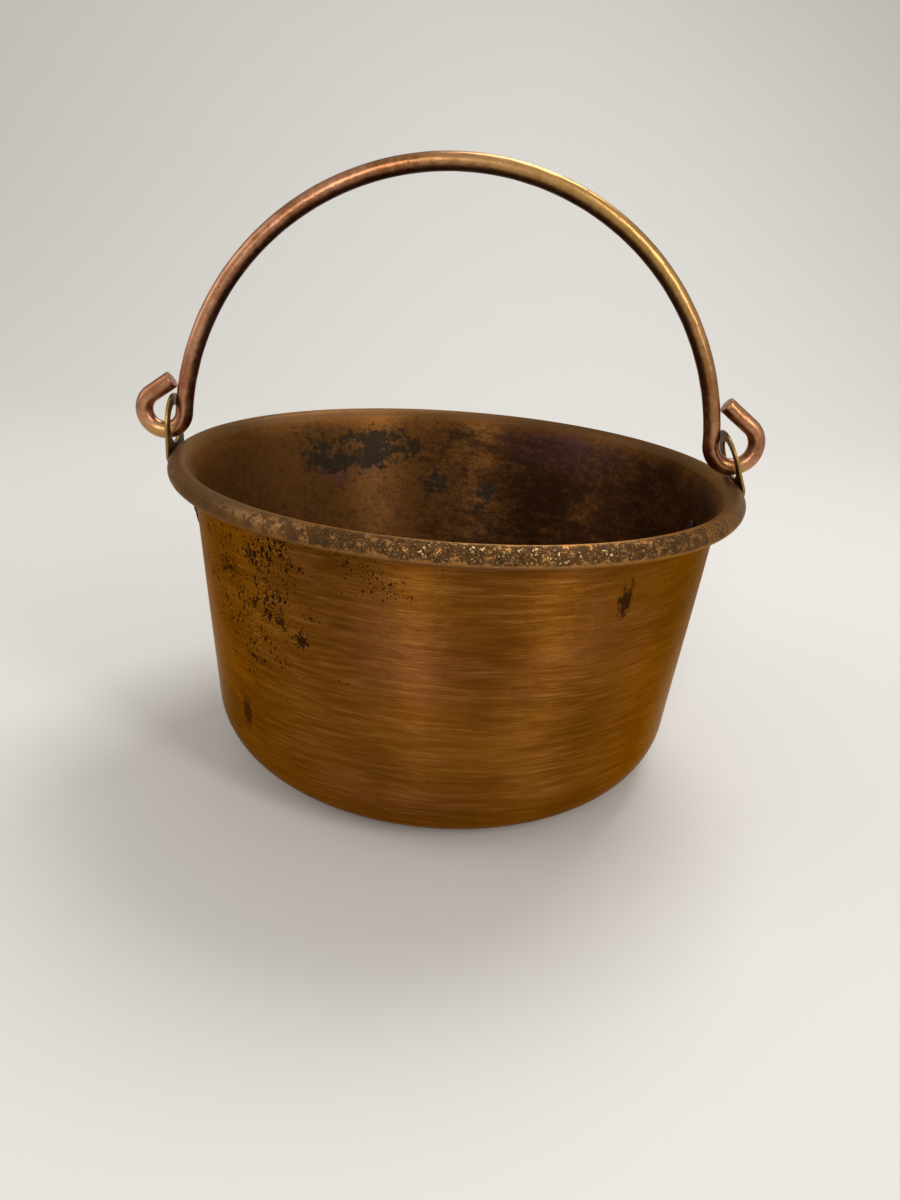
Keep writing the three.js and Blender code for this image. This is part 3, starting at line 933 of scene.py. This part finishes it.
@dataclass(frozen=True)
class Ear:
    """One ear: a bent strip with an eye, up the wall, out round the bead and up with a lean over the rim.

    Attributes:
        pot: The pot it sits on.
        side: The end of the bail's axis that it is at.
        lean: Its lean from upright above the bead.
        top: The height of its top.
        width: Its width.
        sheet: Its thickness.
        eye: The radius of the eye.
        low: The height of its lower edge.
        foot_flat: Half the straight part of its round lower edge.
        slant: The lean of the strip between the wall and the bead.
        bend: The inside radius of the bend above the foot.
        gap: The room between it and the pot.
        edge: The radius that its edges are rounded to.
        rivet: How far each rivet is from its middle.
    """

    pot: PotShell
    side: Side
    lean: float
    top: float
    width: float
    sheet: float = 0.8 * MM
    eye: float = 5.2 * MM
    low: float = 64 * MM
    foot_flat: float = 0.3 * MM
    slant: float = radians(38)
    bend: float = 3 * MM
    gap: float = 0.3 * MM
    edge: float = 0.22 * MM
    rivet: float = 4.3 * MM

    @classmethod
    def from_frame(cls, pot: PotShell, side: Side, lean: float) -> Ear:
        """The ear of the CAD ear's box."""
        low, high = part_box(f"{side.name.lower()}_ear")
        return cls(pot, side, lean, top=high.z, width=high.y - low.y, low=low.z)

    def _strip(self) -> tuple[Array, Array]:
        """The inner and outer faces of the bent strip, as distances from the pot's axis and heights.

        The inner face runs up the wall, bends out, runs on a slant to the bead, goes round it and then
        straight on. The outer one is its parallel line. Both run past the outline at either end.
        """
        past = 3 * MM
        low = self.low - past
        up_wall, up_slant = pi / 2 - self.pot.taper, pi / 2 - self.slant
        turn = up_wall - up_slant
        wrap = self.pot.bead + self.gap
        start = np.array([self.pot.wall_radius(low), low])
        start = start + (self.pot.sheet + self.gap) * direction(-self.pot.taper)
        apart = self.pot.bead_centre + wrap * direction(-self.slant) - start
        foot = (apart[1] * cos(up_slant) - apart[0] * sin(up_slant)) / sin(turn)
        run = (apart[0] * sin(up_wall) - apart[1] * cos(up_wall)) / sin(turn)
        radius = self.bend + self.sheet
        spare = radius * tan(turn / 2)
        trace = Trace(start, up_wall).line(foot - spare, 8).arc(radius, -turn, 24).line(run - spare, 4)
        trace.arc(wrap, self.slant + self.lean, 32).line(self.top - self.pot.bead_centre[1] + past, 12)
        return trace.points, trace.beside(self.sheet)

    def _outline(self) -> Array:
        """The face's outline across and up: a line from under the foot that turns left all the way round."""
        half = self.width / 2
        corner = half - self.foot_flat
        side = self.top - half - self.low - corner
        trace = Trace((0, self.low), 0.0).line(self.foot_flat, 2).arc(corner, pi / 2, 28).line(side, 44)
        trace.arc(half, pi, 96).line(side, 44).arc(corner, pi / 2, 28).line(self.foot_flat, 2)
        return trace.points[:-1]

    def _loop(self) -> tuple[Array, Array, Array, Array]:
        """The section from the eye to the outline, once round.

        Each of its points lies a fixed distance plus a share of the section's length from the eye's edge, and
        at a height through the sheet. The two faces are joined by edges that are rounded at their corners.

        Returns:
            The distances, the shares, the heights and 1 for each point of an edge.
        """
        quarter = np.linspace(0, pi / 2, 5)
        face = np.linspace(0, 1, 40)
        r, t = self.edge, self.sheet
        ends = np.zeros(2 * len(quarter))
        fixed = np.concatenate([r - 2 * r * face, -r + r * np.sin(quarter), -r + r * np.cos(quarter)])
        share = np.concatenate([face, ends + 1])
        height = np.concatenate([np.full(len(face), t), t - r + r * np.cos(quarter), r - r * np.sin(quarter)])
        edge = np.concatenate([face * 0, ends + 1])
        return (
            np.concatenate([fixed, -fixed]),
            np.concatenate([share, 1 - share]),
            np.concatenate([height, t - height]),
            np.concatenate([edge, edge]),
        )

    def build(self) -> bpy.types.Object:
        """Makes the ear.

        The first parameter goes along the outline and the second round the section on the ray from the eye's
        middle. A point across and up is the eye's middle plus its distance along that ray, and its distance
        from the pot's axis is that of the inner face at its height, plus its share of the thickness.

        Returns:
            The ear's object, with the mark "edge".
        """
        outline = self._outline()
        middle = np.array([0, self.top - self.width / 2])
        ray = outline - middle
        reach = np.linalg.norm(ray, axis=1)
        ray = ray / reach[:, None]
        fixed, share, height, edge = self._loop()
        distance = self.eye + fixed + share * (reach - self.eye)[:, None]
        face = middle + distance[..., None] * ray[:, None]
        inner, outer = self._strip()
        near = np.interp(face[..., 1], inner[:, 1], inner[:, 0])
        far = np.interp(face[..., 1], outer[:, 1], outer[:, 0])
        out = near + (far - near) * height / self.sheet
        turn = self.side.value
        points = np.stack([out * turn, face[..., 0] * turn, face[..., 1]], axis=-1)
        name = self.side.name.lower()
        piece = Surface(f"{name}_ear_strip", np.swapaxes(points, 0, 1), Close.RING, {"edge": edge}).build()
        piece.data.materials.append(EarBrass().material())
        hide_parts(f"{name}_ear")
        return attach(piece, "pot")


@dataclass(frozen=True)
class Rivet:
    """A rivet through an ear's foot and the wall, with a domed head outside and a flattened end inside.

    Attributes:
        ear: The ear it holds.
        aside: How far it is from the ear's middle, towards +Y on the right ear.
        node: The CAD node it stands for.
        height: The height of its middle.
        shank: The shank's radius.
        head: The head's radius.
        dome: The head's height.
        clinch: The flattened end's radius.
        thick: The flattened end's thickness.
    """

    ear: Ear
    aside: float
    node: str
    height: float = 72 * MM
    shank: float = 1.4 * MM
    head: float = 2.7 * MM
    dome: float = 1.45 * MM
    clinch: float = 2.5 * MM
    thick: float = 0.6 * MM

    def _profile(self) -> Array:
        """Radii and heights from the middle of the flattened end to the top of the dome.

        The dome is an arc through its edge and its top, and a short skirt under it meets the ear.
        """
        pot = self.ear.pot
        radius = pot.wall_radius(self.height)
        back = radius - sqrt(radius**2 - (abs(self.aside) + self.clinch) ** 2)
        clear = 0.15 * MM
        inside = -pot.sheet - self.ear.gap - back - clear
        face = self.ear.sheet
        skirt = 0.12 * MM
        rise = self.dome - skirt
        ball = (self.head**2 + rise**2) / (2 * rise)
        angle = asin(self.head / ball) * (1 - np.linspace(0, 1, 14))[:-1]
        rim = np.linspace(0, pi / 2, 5)
        soft = self.thick / 2
        end = np.stack([self.clinch - soft + soft * np.sin(rim), inside - soft - soft * np.cos(rim)], axis=-1)
        start = np.array([[self.clinch * 0.4, inside - self.thick]])
        stem = np.array([[self.clinch, inside], [self.shank, inside], [self.shank, face], [self.head, face]])
        cap = np.stack([ball * np.sin(angle), face + self.dome - ball * (1 - np.cos(angle))], axis=-1)
        return np.concatenate([start, end, stem, cap])

    def build(self) -> bpy.types.Object:
        """Makes the rivet: its profile turned about its own axis, which is laid square to the wall."""
        pot, side = self.ear.pot, self.ear.side
        local = revolve(self._profile(), 40)
        axis = np.array([cos(pot.taper), 0, -sin(pot.taper)])
        upright = np.array([-sin(pot.taper), 0, -cos(pot.taper)])
        seat = np.array([pot.wall_radius(self.height), self.aside, self.height])
        seat = seat + (pot.sheet + self.ear.gap) * axis
        points = seat + local @ np.stack([upright, np.array([0.0, 1.0, 0.0]), axis])
        points = points * np.array([side.value, side.value, 1])
        piece = Surface(f"{self.node}_head", points, Close.POLES).build()
        piece.data.materials.append(RivetCopper().material(pot))
        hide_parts(self.node)
        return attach(piece, "pot")


@dataclass(frozen=True)
class Bail:
    """The bail: a round rod bent to an arch, each end hooked out and curled up into a loop.

    Attributes:
        rod: The rod's radius.
        crown: The height of the rod's middle at the crown.
        hook_x: How far the right hook's centre is from the bail's middle.
        hook_low: The height of the rod's middle under both hooks.
        middle: Where the bail's middle is along its axis.
        hook: The right hook's radius, to the rod's middle.
        left_hook: The left hook's radius, which is curled tighter.
        open: Where a hook's round part ends, above level.
        tip_gap: The room between a hook's tip and the leg.
        soft: The radius that its ends' edges are rounded to.
        uneven: The size of its unevenness.
        columns: How many points go round the rod.
    """

    rod: float
    crown: float
    hook_x: float
    hook_low: float
    middle: float
    hook: float = 6.7 * MM
    left_hook: float = 5.67 * MM
    open: float = radians(54)
    tip_gap: float = 0.02 * MM
    soft: float = 0.2 * MM
    uneven: float = 0.03 * MM
    columns: int = 48

    @classmethod
    def from_frame(cls, pot: PotShell) -> Bail:
        """The bail of the CAD bail's box, with its right hook just outside the pot's bead."""
        low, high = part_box("bail")
        rod, hook_reach = 2.5 * MM, 1.1 * MM
        hook_x = pot.rim + hook_reach
        middle = high.x - hook_x - cls.hook - rod
        return cls(rod=rod, crown=high.z - rod, hook_x=hook_x, hook_low=low.z + rod, middle=middle)

    @property
    def arch_z(self) -> float:
        """The height of the arch's centre, so that the arch and the right hook touch smoothly."""
        reach, hook_z = self.crown + self.hook, self.hook_low + self.hook
        return (reach**2 - self.hook_x**2 - hook_z**2) / (2 * (reach - hook_z))

    def leg_outside(self, height: float) -> float:
        """How far the leg's outer side is from the bail's middle at a height."""
        return sqrt((self.crown - self.arch_z) ** 2 - (height - self.arch_z) ** 2) + self.rod

    def _half(self, hook: float) -> Trace:
        """Half of the rod's middle line: down the arch, out and up round a hook, and straight on to the tip.

        The hook's circle touches the arch's, and the tip stops where its lower edge is close to the leg.

        Args:
            hook: The hook's radius.

        Returns:
            The line, as for the right half.
        """
        arch = self.crown - self.arch_z
        rise = self.hook_low + hook - self.arch_z
        end = asin(rise / (arch + hook))
        trace = Trace((0, self.crown), 0.0).arc(arch, end - pi / 2, 170).arc(hook, self.open + pi - end, 110)
        edge = trace.points[-1] - self.rod * direction(self.open) - np.array([0, self.arch_z])
        closing = float(edge @ direction(self.open + pi / 2))
        reach = arch + self.rod + self.tip_gap
        run = -closing - sqrt(closing**2 - float(edge @ edge) + reach**2)
        return trace.line(run, 14)

    def build(self) -> bpy.types.Object:
        """Makes the bail.

        The middle line is the right half and the left one's mirror image. At each point of it a circle of the
        rod's radius stands square to the line, and the circles shrink at both ends to a cut with a rounded
        edge. A swell of about a twentieth of a millimetre gives it the unevenness of a rod bent by hand.

        Returns:
            The bail's object.
        """
        left, right = self._half(self.left_hook), self._half(self.hook)
        points = np.concatenate([left.points[:0:-1] * [-1, 1], right.points])
        headings = np.concatenate([-left.headings[:0:-1], right.headings])
        lengths = np.concatenate([[0], np.cumsum(np.linalg.norm(np.diff(points, axis=0), axis=1))])
        total = lengths[-1]
        soft = self.soft
        cut = soft * (1 - np.cos(np.linspace(0, pi / 2, 6)[:-1]))
        at = np.concatenate([cut, lengths[(lengths > soft) & (lengths < total - soft)], total - cut[::-1]])
        points = np.stack([np.interp(at, lengths, points[:, i]) for i in range(2)], axis=-1)
        headings = np.interp(at, lengths, headings)
        inset = np.clip((soft - np.minimum(at, total - at)) / soft, 0, 1)
        radius = self.rod - soft * (1 - np.sqrt(1 - inset**2))
        angle = np.broadcast_to(2 * pi * np.arange(self.columns) / self.columns, (len(at), self.columns))
        uneven = swell(angle, np.broadcast_to(at[:, None] / total * 24 * pi, angle.shape), 12, 11)
        radius = radius[:, None] + self.uneven * (uneven - 1)
        square = direction(headings + pi / 2)
        flat = points[:, None] + (radius * np.cos(angle))[..., None] * square[:, None]
        grid = np.stack([flat[..., 0] + self.middle, radius * np.sin(angle), flat[..., 1]], axis=-1)
        piece = Surface("bail_rod", grid, Close.POLES).build()
        piece.data.materials.append(BailCopper().material(self))
        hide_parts("bail")
        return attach(piece, "bail")


def stand(piece: bpy.types.Object, axes: Sequence[Array], place: Sequence[float]) -> bpy.types.Object:
    """Puts a lamp or camera in the scene, its three own axes and its place the columns of its matrix."""
    matrix = np.eye(4)
    matrix[:3] = np.stack([*axes, np.array(place)], axis=1)
    piece.matrix_world = Matrix(matrix.tolist())
    bpy.context.scene.collection.objects.link(piece)
    return piece


@dataclass(frozen=True)
class Lamp:
    """A soft lamp that looks at a point over the base.

    Attributes:
        name: Its name.
        place: Where it is.
        width: Its width.
        tall: Its height.
        power: Its power in watts.
        look: The height over the base that it looks at.
    """

    name: str
    place: Vector
    width: float
    tall: float
    power: float
    look: float = 0.07

    def build(self) -> bpy.types.Object:
        """Makes the lamp: its own -Z runs from its place to the point that it looks at."""
        data = bpy.data.lights.new(self.name, "AREA")
        data.shape = "RECTANGLE"
        data.size = self.width
        data.size_y = self.tall
        data.energy = self.power
        lamp = bpy.data.objects.new(self.name, data)
        back = np.array(self.place) - np.array([0, 0, self.look])
        back = back / np.linalg.norm(back)
        side = np.cross([0.0, 0.0, 1.0], back)
        side = side / np.linalg.norm(side)
        lamp.visible_camera = False
        return stand(lamp, (side, np.cross(back, side), back), self.place)


@dataclass(frozen=True)
class Studio:
    """A pale sweep, soft lamps and the camera.

    Attributes:
        lens: The camera's lens in millimetres, on a frame 36 mm high.
        away: The camera's distance from the pot's axis.
        height: The camera's height.
        turn: How far the camera is round from the front, to the left.
        aim: How far to the right of the pot's axis it looks.
        pitch: How far it looks down.
        roll: How far it is rolled.
        floor: The sweep's colour.
        floor_cloud: The colour that it is faintly clouded with.
        world: The brightness of the room around, as it lights the pieces.
        seen: The room's brightness where it is seen.
    """

    lens: float = 27.0
    away: float = 262.35 * MM
    height: float = 149.8 * MM
    turn: float = radians(2.0)
    aim: float = radians(0.1)
    pitch: float = radians(21.77)
    roll: float = radians(4.23)
    floor: str = "e4e1dc"
    floor_cloud: str = "d6d2cc"
    world: float = 0.44
    seen: float = 0.72
    lamps: tuple[Lamp, ...] = (
        Lamp("key", (0.26, 0.4, 0.95), 0.5, 0.5, 5.1),
        Lamp("fill", (-0.85, -0.1, 0.5), 0.5, 0.5, 1.1),
        Lamp("left_strip", (-0.22, -0.87, 0.48), 0.12, 0.5, 2.0),
        Lamp("right_strip", (0.62, -0.65, 0.54), 0.18, 0.5, 2.6),
    )

    def _sweep(self) -> bpy.types.Object:
        """A floor that curves up behind into a wall: a line, a quarter circle and a line, carried across."""
        front, sunk, depth, curve, wall, half = -2.2, 0.05 * MM, 2.7, 0.6, 1.6, 3.0
        trace = Trace((front, -sunk), 0.0).line(depth, 8).arc(curve, pi / 2, 24).line(wall, 4)
        across = np.linspace(-half, half, 13)
        grid = np.empty((len(trace.points), len(across), 3))
        grid[..., 0] = across
        grid[..., 1:] = trace.points[:, None]
        index = np.arange(grid.shape[0] * grid.shape[1]).reshape(grid.shape[:2])
        corners = [index[:-1, :-1], index[:-1, 1:], index[1:, 1:], index[1:, :-1]]
        faces = np.stack(corners, axis=-1).reshape(-1, 4)
        mesh = bpy.data.meshes.new("sweep")
        mesh.from_pydata(grid.reshape(-1, 3).tolist(), [], faces.tolist())
        mesh.polygons.foreach_set("use_smooth", np.ones(len(faces), bool))
        shader = Shader("sweep")
        cloud = shader.noise(shader.stretch(shader.place(), (0.01, 0.01, 0.01)), 3.0)
        colour = shader.blend(cloud * 0.04, self.floor, self.floor_cloud)
        mesh.materials.append(shader.finish(colour, 0.0, 0.6 + cloud * 0.1, shader.bump(cloud, 0.02)))
        sweep = bpy.data.objects.new("sweep", mesh)
        bpy.context.scene.collection.objects.link(sweep)
        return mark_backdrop(sweep)

    def _camera(self) -> bpy.types.Object:
        """A camera at its distance and height, turned, tipped down and rolled."""
        data = bpy.data.cameras.new("camera")
        data.sensor_fit = "VERTICAL"
        data.sensor_height = 36.0
        data.lens = self.lens
        data.clip_start = 0.01
        heading = self.turn + self.aim
        ahead = np.array([cos(self.pitch) * sin(heading), cos(self.pitch) * cos(heading), -sin(self.pitch)])
        right = np.array([cos(heading), -sin(heading), 0.0])
        up = np.cross(right, ahead)
        level = cos(self.roll) * right + sin(self.roll) * up
        upright = cos(self.roll) * up - sin(self.roll) * right
        place = (-self.away * sin(self.turn), -self.away * cos(self.turn), self.height)
        return stand(bpy.data.objects.new("camera", data), (level, upright, -ahead), place)

    def build(self) -> None:
        """Makes the sweep, the lamps, the room's light and the camera."""
        scene = bpy.context.scene
        self._sweep()
        for lamp in self.lamps:
            lamp.build()
        scene.world = Room("room").light(self.world, self.seen)
        scene.camera = self._camera()
        scene.view_settings.view_transform = "Standard"


def ear_lean(pot: PotShell, bail: Bail, side: Side, top: float) -> float:
    """The lean of an ear whose top is just clear of the leg beside it.

    It is the lean of a straight line that leaves the bend round the bead smoothly and ends at the ear's top.

    Args:
        pot: The pot.
        bail: The bail.
        side: The ear's side.
        top: The height of the ear's top.

    Returns:
        The lean from upright, in radians.
    """
    centre = pot.bead_centre
    clear = 0.75 * MM
    reach = bail.leg_outside(top) + side.value * bail.middle + clear - centre[0]
    rise = top - centre[1]
    return atan2(rise, reach) - acos((pot.bead + Ear.gap) / hypot(reach, rise))


def main() -> None:
    """Builds the studio and every piece."""
    logging.basicConfig(level=logging.INFO, format="%(name)s: %(message)s")
    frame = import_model()
    Studio().build()

    pot = PotShell.from_frame()
    bail = Bail.from_frame(pot)
    LOG.info("made %s", pot.build().name)
    frame["nodes"]["rim_wire"].data.materials.clear()
    frame["nodes"]["rim_wire"].data.materials.append(WireSteel().material())
    for side in Side:
        name = side.name.lower()
        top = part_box(f"{name}_ear")[1].z
        ear = Ear.from_frame(pot, side, ear_lean(pot, bail, side, top))
        LOG.info("made %s", ear.build().name)
        for place, toward in (("front", -1), ("back", 1)):
            rivet = Rivet(ear, toward * ear.rivet * side.value, f"{name}_ear_rivet_{place}")
            LOG.info("made %s", rivet.build().name)
    LOG.info("made %s", bail.build().name)


if __name__ == "__main__":
    main()
